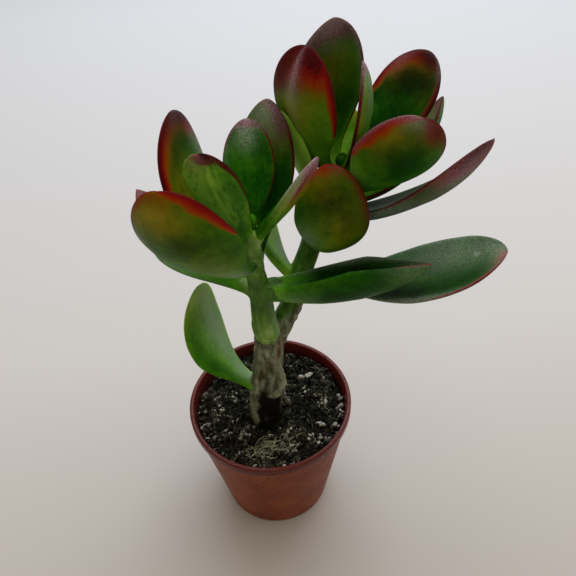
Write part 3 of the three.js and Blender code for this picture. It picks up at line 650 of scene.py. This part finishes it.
def jade_stem():
    """Succulent stem: smooth green skin on the branches, which turns to thin whitish grey-green bark towards
    the soil, with a pale flap, a wet black patch and a rusty groove."""
    coat, add, link = finish("jade_stem_skin", IOR=1.45, Specular_IOR_Level=0.2, Subsurface_Weight=0.08,
                             Subsurface_Scale=0.001, Subsurface_Radius=(1.0, 1.2, 0.4))
    place = add("TexCoord", out=3)
    woody, wet, rust, pale, green_tone = [
        add("Attribute", attribute_name=mark, out=2)
        for mark in ("woody", "wet", "rust", "pale", "green_tone")]
    upright = add("Mapping", place, None, None, (1.0, 1.0, 0.3))
    streaks = add("TexNoise", upright, 500.0, 4.0, 0.6)
    blotch = add("TexNoise", place, 260.0, 4.0, 0.6)
    fine = add("TexNoise", place, 1500.0, 3.0, 0.65)
    tone = add("ADD", green_tone, add("MapRange", streaks, 0.3, 0.7, -0.18, 0.18))
    green = add("ValToRGB", tone, stops=(
        (0.0, "#122506"), (0.35, "#2a4c0f"), (0.65, "#527f2b"), (0.85, "#7da54a"), (1.0, "#a5c46c")))
    bark = add("ValToRGB", streaks, stops=(
        (0.32, "#33351f"), (0.44, "#5c624a"), (0.55, "#7f876e"), (0.7, "#a6ad97")))
    stain = add("MapRange", blotch, 0.48, 0.66, 0.0, 0.45)
    bark = add("Mix", stain, bark, "#38351f", data_type="RGBA")
    shift = add("MapRange", blotch, 0.3, 0.7, -0.35, 0.35)
    share = add("ADD", woody, shift)
    share = add("MapRange", share, 0.3, 0.7)
    body = add("Mix", share, green, bark, data_type="RGBA")
    body = add("Mix", rust, body, "#6b2c17", data_type="RGBA")
    body = add("Mix", pale, body, "#a2ab8e", data_type="RGBA")
    soaked = add("MapRange", add("ADD", wet, shift), 0.2, 0.85)
    soil = add("ValToRGB", fine, stops=((0.45, "#040302"), (0.62, "#17130d"), (0.75, "#3a3626")))
    link("Base Color", add("Mix", soaked, body, soil, data_type="RGBA"))
    link("Roughness", add("MapRange", woody, 0.0, 1.0, 0.45, 0.75))
    relief = add("ADD", streaks, add("MULTIPLY", fine, 0.5))
    rugged = add("MapRange", woody, 0.0, 1.0, 0.25, 1.0)
    relief = add("MULTIPLY", relief, rugged)
    link("Normal", add("Bump", 0.45, 0.0006, None, relief))
    return coat


# ----------------------------------------------------------------------------------------------------- pot


def inside_radius(height):
    """The cavity is a cone: its radius grows evenly with height."""
    return POT_BASE_RADIUS + POT_SLOPE * height - POT_WALL


def pot_mesh():
    """The pot's profile carried round its axis: out along the underside, up the wall, round the lip and down
    the inside to the floor. Corners are quarter circles, and the rim is out of round by a few hundredths."""
    wall_top = POT_HEIGHT - POT_LIP_HEIGHT
    wall_radius = POT_RIM_RADIUS - POT_LIP_STEP

    def corner(radius, height, size, start, end, steps=6):
        angle = np.radians(np.linspace(start, end, steps))
        return np.stack([radius + size * np.cos(angle), height + size * np.sin(angle)], -1)

    inner = inside_radius(POT_HEIGHT)
    climb = np.linspace(0.9, wall_top - 0.35, 24)
    sink = np.linspace(POT_HEIGHT - 0.6, POT_FLOOR + 0.6, 24)
    profile = np.concatenate([
        np.stack([np.linspace(1, POT_BASE_RADIUS - 1.6, 8), np.full(8, 0.5)], -1),
        corner(POT_BASE_RADIUS - 1.4, 0.2, 0.2, 150, 270),
        corner(POT_BASE_RADIUS - 0.6, 0.6, 0.6, 270, 360),
        np.stack([POT_BASE_RADIUS + POT_SLOPE * climb, climb], -1),
        corner(wall_radius + 0.15, wall_top - 0.15, 0.15, 180, 90, 4),
        corner(POT_RIM_RADIUS - 0.35, wall_top + 0.35, 0.35, -90, 0, 5),
        [[POT_RIM_RADIUS - 0.02, wall_top + 1.2], [POT_RIM_RADIUS, POT_HEIGHT - 1.0]],
        corner(POT_RIM_RADIUS - 0.5, POT_HEIGHT - 0.5, 0.5, 0, 90),
        corner(inner + 0.4, POT_HEIGHT - 0.4, 0.4, 90, 180),
        np.stack([inside_radius(sink), sink], -1),
        corner(inside_radius(POT_FLOOR) - 0.6, POT_FLOOR + 0.6, 0.6, 0, -90, 5),
        np.stack([np.linspace(inside_radius(POT_FLOOR) - 2, 1, 6), np.full(6, POT_FLOOR)], -1),
    ])
    around, lining = 208, 35  # the profile's last 35 points line the cavity
    turn = np.arange(around) * TURN / around
    radius, height = profile[:, :1], profile[:, 1:]
    radius = radius + 0.06 * np.sin(2 * turn + 0.6) * ease(10, 49, height) + 0.03 * np.sin(5 * turn)
    rings = xyz(radius * np.cos(turn), radius * np.sin(turn), height)
    order = np.arange(len(profile))[:, None] + np.zeros(around)
    # painted shade: the points that line the cavity are marked for the material to paint dark
    lining_shade = ease(-1, 1, order - len(profile) + lining)
    shell = skin_mesh("pot_shell", rings[None], np.array([[0, 0, 0.5]]), np.array([[0, 0, POT_FLOOR]]),
                      [("inside", np.append(lining_shade, [0, 1]))])
    return drilled(shell)


def drilled(shell):
    """The shell with its drain holes, a circle of round ones, cut through the floor."""
    place = (np.arange(DRAIN_HOLES) + 0.5)[:, None] * TURN / DRAIN_HOLES
    turn = np.arange(28) * TURN / 28
    x = DRAIN_CIRCLE_RADIUS * np.cos(place) + DRAIN_HOLE_RADIUS * np.cos(turn)
    y = DRAIN_CIRCLE_RADIUS * np.sin(place) + DRAIN_HOLE_RADIUS * np.sin(turn)
    rings = np.stack([xyz(x, y, level) for level in (-1.0, 3.0)], 1)
    ends = rings.mean(2)
    drills = stand("drills", skin_mesh("drills", rings, ends[:, 0], ends[:, 1]))
    blank = stand("blank", shell)
    cut = blank.modifiers.new("cut", "BOOLEAN")
    cut.operation = "DIFFERENCE"
    cut.solver = "EXACT"
    cut.object = drills
    whole = baked(blank, drills)
    whole.set_sharp_from_angle(angle=math.radians(40))
    return whole


# ---------------------------------------------------------------------------------------------------- soil


def soil_roughness(x, y):
    """Clods of 7, 3.4 and 1.6 mm and crumbs of 0.8 mm, with cracks where a 4 mm noise passes zero."""
    flat = xyz(x, y, 0)
    clods = sum(depth * drift(flat, size, seed) for depth, size, seed in (
        (0.6, 7, 1), (0.8, 3.4, 2), (0.55, 1.6, 3), (0.3, 0.8, 4)))
    return clods - 1.1 * np.exp(-((drift(flat, 4, 5) / 0.13) ** 2))


def soil_height(x, y):
    """The peat's surface: it mounds a little towards the stem, drops at the wall, and is hollow in front of
    the stem."""
    share = np.hypot(x, y) / 26
    hollow = 1.6 * np.exp(-((x - 1) ** 2 + (y + 9.5) ** 2) / 9)
    return SOIL_LEVEL + SOIL_MOUND * (1 - share) - SOIL_EDGE_DROP * share**12 + soil_roughness(x, y) - hollow


def foot_shade(x, y):
    """Painted shade: how far the peat is painted black in the hollow at the trunk's front right, where shade
    falls at its foot.
    """
    return np.exp(-(((x - 1.5) / 5) ** 2) - ((y + 9) / 2.6) ** 2)


def soil_mesh():
    """A plug: rings up the side, shrunk from the wall at the top, then inwards over the rough surface."""
    around = 320
    turn = np.arange(around) * TURN / around
    sides = np.array([2.2, 12, 24, 34, 41, 43.7])
    shrunk = np.array([0.3, 0.3, 0.3, 0.4, 0.8, 1.1])
    gap = 1 + 0.35 * np.sin(turn + 2.5) + 0.3 * drift(xyz(3 * np.cos(turn), 3 * np.sin(turn), 0), 1, 9)
    radius = inside_radius(sides)[:, None] - np.where(shrunk[:, None] > 0.3, shrunk[:, None] * gap, 0.3)
    wall = xyz(radius * np.cos(turn), radius * np.sin(turn), sides[:, None])
    top = (radius[-1] - 0.15) * np.linspace(1, 0.012, 120)[:, None]
    x, y = top * np.cos(turn), top * np.sin(turn)
    surface = xyz(x, y, soil_height(x, y))
    rings = np.concatenate([wall, surface])
    # painted shade: the side against the wall is painted darkest, and the peat at the trunk's foot darker
    relief_light_and_shade = np.concatenate([np.full(wall.shape[:2], -2.0), soil_roughness(x, y) - 2 * foot_shade(x, y)])
    return skin_mesh("soil_surface", rings[None], np.array([[0, 0, 2.2]]), surface[-1].mean(0)[None],
                     [("relief_light_and_shade", np.append(relief_light_and_shade, [-2, 0]))])


def scattered(count, seed, reach=25.2, clear=6.0):
    """Random places on the peat, even over its area, and clear of the trunk."""
    random = np.random.default_rng(seed)
    radius = reach * np.sqrt(random.random(3 * count))
    turn = random.random(3 * count) * TURN
    x, y = radius * np.cos(turn), radius * np.sin(turn)
    free = np.hypot(x + 1.7, y + 2.9) > clear
    return x[free][:count], y[free][:count], random


def crumbs_mesh():
    """Flat splinters and crumbs of peat, each of its own tone, painted a little paler where the clods stand
    high as painted light, and darker at the trunk's foot as painted shade.
    """
    count = 4200
    x, y, random = scattered(count, 21)
    size = 0.22 + 0.55 * random.random((count, 1)) ** 2
    sizes = size * (0.5 + 1.0 * random.random((count, 3))) * [1.2, 0.8, 0.7]
    centres = xyz(x, y, soil_height(x, y) + 0.3 * sizes[:, 2])
    crumbs = lumps(centres, sizes, 22, rows=3)
    # pale ones in clusters of about 3 mm, and fewer behind the trunk
    pale = ease(-0.35, 0.45, drift(xyz(x, y, 0), 3, 24)) * (1 - 0.35 * ease(2, 12, y))
    # painted light and shade: crumbs on high clods are a little paler, and those at the trunk's foot darker
    shade = random.random(count) ** 1.2 * (0.2 + 0.8 * pale) + 0.16 * soil_roughness(x, y)
    shade = np.clip(shade * (1 - 0.8 * foot_shade(x, y)), 0, 1)
    return skin_mesh("soil_crumbs", *crumbs, [("shade", shade)])


def fibre_paths(x, y, random, length, rise, heading=None, steps=9):
    """Each fibre is an arc on the peat that wanders up and down a little, in any direction or about one."""
    count = len(x)
    bend = (random.random((count, 1)) - 0.5) * 2.4
    if heading is None:
        heading = random.random((count, 1)) * TURN
    else:
        heading = heading + 0.7 * random.standard_normal((count, 1))
        bend = 0.35 * bend
    along = np.linspace(-0.5, 0.5, steps)
    turn = heading + bend * along
    step = length[:, None] / steps
    px = x[:, None] + np.cumsum(step * np.cos(turn), 1) - step * steps / 2 * np.cos(heading)
    py = y[:, None] + np.cumsum(step * np.sin(turn), 1) - step * steps / 2 * np.sin(heading)
    far = np.maximum(np.hypot(px, py) / 25.3, 1)
    px, py = px / far, py / far
    arch = rise * random.random((count, 1)) * np.cos(along * math.pi) + 0.08
    return xyz(px, py, soil_height(px, py) + arch)


def fibres_mesh():
    """Short fibres lie all over the peat, and a sheaf of bleached straw lies in front of the stem."""
    count, straws = 1500, 90
    x, y, random = scattered(count, 31)
    length = 0.8 + 3.4 * random.random(count) ** 2
    paths = fibre_paths(x, y, random, length, 0.5)
    shade = 0.12 + 0.62 * random.random(count) ** 2
    sheaf_x = -3 + 4.2 * random.standard_normal(straws)
    sheaf_y = -17.6 + 0.15 * (sheaf_x + 3) + 1.5 * random.standard_normal(straws)
    sheaf = fibre_paths(sheaf_x, sheaf_y, random, 2.5 + 6 * random.random(straws), 0.7, heading=0.55)
    paths = np.concatenate([paths, sheaf + [0, 0, 0.25]])
    shade = np.concatenate([shade, 0.55 + 0.45 * random.random(straws)])
    thick = np.concatenate([0.05 + 0.07 * random.random((count, 1)), 0.07 + 0.1 * random.random((straws, 1))])
    taper = 1 - 0.7 * np.linspace(-1, 1, paths.shape[1]) ** 4
    return skin_mesh("soil_fibres", *threads(paths, thick * taper), [("shade", shade)])


def perlite_mesh():
    """The white grains lie where they catch the eye, some of them long, with a few small ones among them."""
    # x, y, half length, half width, direction in degrees
    large = np.array([(14, 10.8, 2.1, 0.8, 20), (11.6, 9.6, 1.2, 0.8, 10), (15.8, -9.9, 1.5, 0.7, -20),
                      (24, 1.2, 0.9, 0.7, 0), (5.3, -17.2, 0.9, 0.6, 10), (12.8, -13.4, 0.6, 0.6, 0),
                      (11.2, -15.6, 0.6, 0.5, 60), (15.3, -15.2, 0.6, 0.5, 20), (-8, -11, 0.8, 0.5, -40),
                      (3.2, -16.2, 0.5, 0.4, 0), (-12, 12, 0.5, 0.4, 0), (17.5, -2.5, 0.5, 0.4, 0)])
    count = 26
    x, y, random = scattered(count, 41)
    small = 0.15 + 0.2 * random.random(count)
    grains = np.concatenate([large, np.stack([x, y, small * 1.2, small, 180 * random.random(count)], -1)])
    sizes = grains[:, [2, 3, 3]] * (0.85 + 0.3 * random.random((len(grains), 3)))
    x, y = grains[:, 0], grains[:, 1]
    centres = xyz(x, y, soil_height(x, y) + 0.55 * sizes[:, 2])
    spin = np.radians(grains[:, 4])
    return skin_mesh("soil_perlite", *lumps(centres, sizes, 42, rows=7, around=11, crumple=0.45, spin=spin))


# -------------------------------------------------------------------------------------------------- leaves


def stem_line(stem, per_span=40):
    """The centreline through a stem's points: on each span a cubic, whose slope at a point is half the step
    between its neighbours. The radius runs along with it."""
    points = np.array(STEM_PATHS[stem], float)
    points = np.concatenate([2 * points[:1] - points[1:2], points, 2 * points[-1:] - points[-2:-1]])
    place = np.linspace(0, len(points) - 3, per_span * (len(points) - 3) + 1)
    span = np.minimum(place.astype(int), len(points) - 4)
    share = (place - span)[:, None]
    a, b, c, d = (points[span + step] for step in range(4))
    return 0.5 * (2 * b + (c - a) * share + (2 * a - 5 * b + 4 * c - d) * share**2
                  + (3 * b - a - 3 * c + d) * share**3)


LINES = {stem: stem_line(stem) for stem in STEM_PATHS}


def root_of(stem, height):
    """Where a leaf joins: the point of the stem's centreline at that height."""
    line = LINES[stem]
    return np.append(between(height, line[:, 2], line[:, :2]), height)


def leaf_frame(leaf, share):
    """Along, sideways and up at shares of a leaf's length. Slope, heading and roll change evenly along it."""
    heading, slope, curl, sweep, roll, twist = leaf[2:8]
    slope = np.radians(slope + curl * share)
    heading = np.radians(heading + sweep * share)
    roll = np.radians(roll + twist * share)[:, None]
    level = xyz(-np.sin(heading), np.cos(heading), 0)
    along = xyz(np.cos(slope) * np.cos(heading), np.cos(slope) * np.sin(heading), np.sin(slope))
    sideways = np.cos(roll) * level + np.sin(roll) * np.cross(along, level)
    return along, sideways, np.cross(along, sideways)


def midrib(leaf, root, share):
    """The midrib starts at root and adds up its short steps."""
    steps = (np.arange(240) + 0.5) / 240
    line = np.concatenate([[root], root + np.cumsum(leaf_frame(leaf, steps)[0], 0) * leaf[8] / 240])
    return between(share, np.linspace(0, 1, 241), line)


def outline(share, taper, point):
    """Share of the full width: from the base it swells on a quarter sine wave to a power, and past its widest
    place it closes on a tip that is blunt for a point of 0 and sharp for a point of 1."""
    swell = np.sin(0.5 * math.pi * np.minimum(share / LEAF_WIDEST, 1)) ** taper
    past = np.clip((share - LEAF_WIDEST) / (1 - LEAF_WIDEST), 0, 1)
    close = (1 - past ** (2.1 - 0.9 * point)) ** (0.56 + 0.34 * point)
    return (LEAF_BASE_WIDTH + (1 - LEAF_BASE_WIDTH) * swell) * close


def thickness(share):
    """Share of the full thickness: even, a little more at the base, and thinning out at the tip."""
    before = 1 + 0.12 * (1 - np.minimum(share / LEAF_WIDEST, 1)) ** 2
    past = np.clip((share - LEAF_WIDEST) / (1 - LEAF_WIDEST), 0, 1)
    return before * (1 - past**2.2) ** 0.6


def blade(leaf, root, share, angle, depth=LEAF_THICKNESS, keel=0.1, crease=0.1, seed=0):
    """Points of a fleshy channelled blade. Across it runs an arc of a circle, the channel, which a crease
    turns towards a V. The skin stands off from it by a rounded lens, more below than above, and a keel swells
    the middle of the underside towards the tip. Smooth noise dents the faces and wavers the margins."""
    length, width, fold, taper, point = leaf[8:]
    across, lift = np.cos(angle), np.sin(angle)
    half = 0.5 * width * outline(share, taper, point)[:, None]
    bend = math.radians(fold)
    waver = 1 + 0.012 * drift(xyz(share[:, None] * length, 9 * across, 0), 5, seed)
    turn = bend * across
    bulge = np.sign(lift) * np.abs(lift) ** 0.85
    below = 1 - LEAF_UPPER_SHARE + keel * np.exp(-((across / 0.3) ** 2)) * ease(0.1, 0.9, share)[:, None]
    off = bulge * np.where(lift > 0, LEAF_UPPER_SHARE, below) * depth * thickness(share)[:, None]
    x = half * waver * np.sin(turn) / bend - np.sin(turn) * off
    groove = half * (1 - math.cos(bend)) / bend * (np.sqrt(across**2 + 0.004) - across**2)
    y = half * (1 - np.cos(turn)) / bend + crease * groove + np.cos(turn) * off
    _, sideways, up = leaf_frame(leaf, share)
    points = midrib(leaf, root, share)[:, None] + x[..., None] * sideways[:, None]
    points = points + y[..., None] * up[:, None]
    dents = 0.14 * drift(points, 6, seed + 1) + 0.05 * drift(points, 2, seed + 2)
    return points + (dents * lift**2)[..., None] * up[:, None], half


def leaf_mesh(name, rows=84, around=64):
    """One leaf's skin: its blade, in rows that crowd towards the tip, with the marks for its material. A mark
    is an even value plus spots, each a bell along the leaf times a bell across it."""
    leaf, look = LEAVES[name], {**PLAIN_LOOK, **LOOKS[name]}
    seed = 100 + 7 * list(LEAVES).index(name)
    share = np.sin(0.5 * math.pi * np.arange(rows) / rows) ** 1.15
    angle = np.arange(around) * TURN / around
    root = root_of(leaf[0], leaf[1])
    points, half = blade(leaf, root, share, angle, keel=look["keel"], crease=look["crease"], seed=seed)
    tip = midrib(leaf, root, np.ones(1))

    across, face = np.cos(angle)[None], np.sin(angle)[None]
    along = share[:, None]
    upper = 0.5 + 0.5 * np.tanh(6 * face)
    left = 0.5 + 0.5 * np.tanh(2.5 * across)

    def blend(pair, weight):
        return pair[1] + (pair[0] - pair[1]) * weight

    grown = leaf[8] * along
    # streaks run along the leaf where stretched noise passes zero
    streaks = drift(xyz(0.08 * grown, 1.6 * half * across, 3 * face), 1, seed + 3)
    streaks = look["streaks"] * np.exp(-((streaks / 0.14) ** 2))
    marks = {
        "green_tone": blend(look["tone"], upper) + 0.25 * (1 - ease(0, 0.22, along)) - streaks,
        "olive": 0 * along * across,
        "red": 0 * along * across,
        "bloom_and_sheen": 0 * along * across,
        "dusk": blend(look["dusk"], left) + 0 * along,
        "rim": blend(look["rim"], left) * ease(0.08, 0.55, along),
        "edge": half * (1 - np.abs(across)) + 0.03,  # mm in from the margin
    }
    # many spots of the green's tone are painted light and painted shade, and many spots of the bloom a
    # painted sheen
    for mark, spots in look["spots"].items():
        for spot in spots:
            amount, place, spread, middle, reach, side = (*spot, 0, 2, 0)[:6]
            weight = 1 if side == 0 else upper if side > 0 else 1 - upper
            marks[mark] = marks[mark] + amount * weight * np.exp(
                -(((along - place) / spread) ** 2) - ((across - middle) / reach) ** 2)
    waver = 1 + 0.22 * drift(xyz(grown, 3 * across, 0), 4, seed + 4)
    marks["rim"] = np.maximum(marks["rim"] * waver, 0.01)
    marks = [(mark, np.concatenate([np.ravel(v), [v[0].mean(), v[-1].mean()]])) for mark, v in marks.items()]
    return skin_mesh(name, points[None], root[None], tip, marks)


# ---------------------------------------------------------------------------------------------------- stem


def tube(stem, rows=90, around=40):
    """A round thread along a stem's centreline. It swells a little where leaves join."""
    line = LINES[stem]
    line = between(np.linspace(0, len(line) - 1, rows), np.arange(len(line)), line)
    joints = np.array([leaf[1] for leaf in LEAVES.values() if leaf[0] == stem])
    swell = np.exp(-(((line[:, 2:3] - joints) / 2.2) ** 2)).max(1)
    radius = line[:, 3] * (1 + 0.12 * swell)
    return threads(line[None, :, :3], radius[None], around, towards=(0, 1, 0))


def joined(name, parts):
    """One mesh of several closed skins, each given as its rings and two end points."""
    points, faces, count = [], [], 0
    for part in parts:
        mesh = skin_mesh("part", *part)
        points.append(vectors(mesh.vertices))
        faces += [[corner + count for corner in face.vertices] for face in mesh.polygons]
        count += len(mesh.vertices)
        bpy.data.meshes.remove(mesh)
    whole = bpy.data.meshes.new(name)
    whole.from_pydata(np.concatenate(points), [], faces)
    return whole


def melted(mesh, voxel, smooth):
    """The mesh's bodies grown into one skin, with its creases smoothed."""
    rough = stand("melting", mesh)
    remesh = rough.modifiers.new("remesh", "REMESH")
    remesh.mode = "VOXEL"
    remesh.voxel_size = voxel * MM
    relax = rough.modifiers.new("smooth", "SMOOTH")
    relax.factor = 0.5
    relax.iterations = smooth
    return baked(rough)


def along_path(corners, count):
    """Even points along straight runs between corners."""
    return between(np.linspace(0, len(corners) - 1, count), np.arange(len(corners)), corners)


def stem_parts():
    """The trunk, both branches, the foot of every leaf, and the curled flap of bark low on the trunk."""
    parts = [tube(stem) for stem in STEM_PATHS]
    share = np.linspace(0.0, 0.16, 14)
    angle = np.arange(32) * TURN / 32
    for leaf in LEAVES.values():
        root = root_of(leaf[0], leaf[1])
        foot, _ = blade(leaf, root, share, angle, depth=LEAF_THICKNESS * 1.15, keel=0)
        middle = midrib(leaf, root, share)[:, None]
        fade = 1.12 - 0.32 * ease(0.04, 0.16, share)[:, None, None]
        parts.append(((middle + (foot - middle) * fade)[None], middle[0], middle[-1]))
    parts.append(threads(along_path(BARK_FLAP, 48)[None], np.linspace(0.7, 1.15, 48)[None], around=14))
    return parts


def stem_mesh():
    """The melted stem, with fine bark relief and marks for its material. Relief and marks depend on the
    nearest point of the centrelines: the height there, and the direction that the skin faces."""
    mesh = melted(joined("stem_parts", stem_parts()), 0.42, 5)
    points = vectors(mesh.vertices) / MM
    normals = vectors(mesh.vertex_normals, "vector")

    lines = np.concatenate(list(LINES.values()))
    branch = np.repeat(np.arange(3), [len(line) for line in LINES.values()])
    # every second point of the centrelines is near enough
    away = np.linalg.norm(points[:, None] - lines[None, ::2, :3], axis=2) - lines[None, ::2, 3]
    nearest = 2 * away.argmin(1)
    axis, branch = lines[nearest], branch[nearest]
    height = points[:, 2]
    facing = np.degrees(np.arctan2(points[:, 1] - axis[:, 1], points[:, 0] - axis[:, 0]))
    trunk = np.maximum(branch == 0, height < 82)

    def beside(path, reach):
        return np.exp(-((np.linalg.norm(points[:, None] - path[None], axis=2).min(1) / reach) ** 2))

    def turned(angle):
        return np.abs((facing - angle + 180) % 360 - 180)

    # the bark climbs highest on the right of the right branch
    bark_top = np.where(branch == 1, 86, 97 - 7 * ease(20, 60, turned(-20)))
    woody = 1 - ease(bark_top - 3, bark_top + 3, height + 2 * drift(points, 5, 51))
    flap_path = along_path(BARK_FLAP, 40)
    flap, groove = beside(flap_path, 1.5), beside(along_path(RUST_GROOVE, 40), 1.0)
    # the wet patch is a wedge on the front right that widens down to the soil
    side = np.interp(height, [44, 58, 66, 71], [62, 44, 24, 8])
    middle = np.interp(height, [44, 66], [-62, -82])
    wet = trunk * ease(-20, 14, side - turned(middle)) * (1 - ease(58, 74, height))
    wet = np.maximum(wet * (1 - 0.9 * beside(flap_path, 1.2)), 0)
    wet = wet + 0.25 * trunk * ease(66, 56, height) * drift(points * [1, 1, 0.5], 1.6, 57)
    rust = groove * 0.9 + 0.12 * trunk * np.exp(-(((height - 70) / 7) ** 2) - (turned(-112) / 22) ** 2)
    pale = 0.75 * flap + 0.35 * trunk * ease(0.1, 0.7, drift(points, 3.5, 56))
    # fine pale rings where the left branch stands on the trunk, tilted as its foot is
    tilted = height + 0.25 * (points[:, 0] - axis[:, 0]) - 0.3 * (points[:, 1] - axis[:, 1])
    foot = (branch != 2) * (turned(-90) < 110)
    rings = foot * sum(np.exp(-(((tilted - place) / 0.22) ** 2)) for place in (85.6, 86.7, 87.9))
    green_tone = 0.5 + 0.3 * (branch == 1) * np.exp(-(((height - 90) / 7) ** 2)) + 0.24 * ease(106, 127, height)
    green_tone = green_tone - 0.12 * (branch == 1) * np.exp(-(((height - 104) / 4) ** 2)) + 0.3 * rings
    for leaf in LEAVES.values():
        foot_path = midrib(leaf, root_of(leaf[0], leaf[1]), np.linspace(0.04, 0.2, 5))
        green_tone = green_tone + (0.08 + 0.24 * ease(118, 108, height)) * beside(foot_path, 3.6)

    stretched = points * [1, 1, 3]
    relief = woody * (0.22 * drift(stretched, 3, 53) + 0.12 * drift(stretched, 1.3, 54))
    relief = relief + 0.05 * drift(points, 2, 55)
    grooves = sum(np.exp(-(((height - place) / 0.35) ** 2)) for place in (48, 53, 58.8, 66.5, 74))
    relief = relief - 0.14 * trunk * grooves + 0.12 * rings - 0.45 * groove
    bulge, crack = (np.exp(-(((tilted - place) / size) ** 2)) for place, size in ((89.4, 1.6), (84.8, 0.7)))
    relief = relief + 0.3 * foot * (bulge - crack)
    mesh.vertices.foreach_set("co", ((points + normals * relief[:, None]) * MM).ravel())
    for mark, values in (("woody", woody), ("wet", wet), ("rust", rust), ("pale", pale), ("green_tone", green_tone)):
        mesh.attributes.new(mark, "FLOAT", "POINT").data.foreach_set("value", values.astype(float))
    mesh.shade_smooth()
    mesh.update()
    return mesh


def bud_mesh(stem):
    """A closed pair of young leaves at a branch's tip, in one mesh of two skins."""
    root = LINES[stem][-6, :3]
    share = np.sin(0.5 * math.pi * np.arange(26) / 26) ** 1.15
    angle = np.arange(28) * TURN / 28
    pair = [("bud", 0, BUD_HEADINGS[stem] + turn, BUD["slope"], BUD["curl"], 0, 0, 0,
             BUD["length"], BUD["width"], BUD["fold"], BUD["taper"], BUD["point"]) for turn in (0, 180)]
    skins = np.stack([blade(leaf, root, share, angle, depth=BUD["thickness"])[0] for leaf in pair])
    tips = np.concatenate([midrib(leaf, root, np.ones(1)) for leaf in pair])
    marks = dict(green_tone=0.5, rim=0.3, edge=2.0, olive=0.0, red=0.0, dusk=0.0, bloom_and_sheen=0.0)
    marks = [(mark, [value] * len(pair)) for mark, value in marks.items()]
    return skin_mesh("bud_" + stem, skins, np.stack([root, root]), tips, marks)


# ----------------------------------------------------------------------------------------------- the plant

place_camera()
place_studio()

piece("pot_shell", pot_mesh(), moulded_polypropylene(), "pot", "pot")
piece("soil_surface", soil_mesh(), peat(), "soil", "soil")
piece("soil_crumbs", crumbs_mesh(), peat_crumb(), "soil")
piece("soil_fibres", fibres_mesh(), straw(), "soil")
piece("soil_perlite", perlite_mesh(), perlite(), "soil")

piece("stem_skin", stem_mesh(), jade_stem(), "stem", "stem")
leaf_skin = waxy_leaf()
for stem in BUD_HEADINGS:
    piece("bud_" + stem, bud_mesh(stem), leaf_skin, "leaf")
for name in LEAVES:
    piece(name + "_skin", leaf_mesh(name), leaf_skin, "leaf", name)
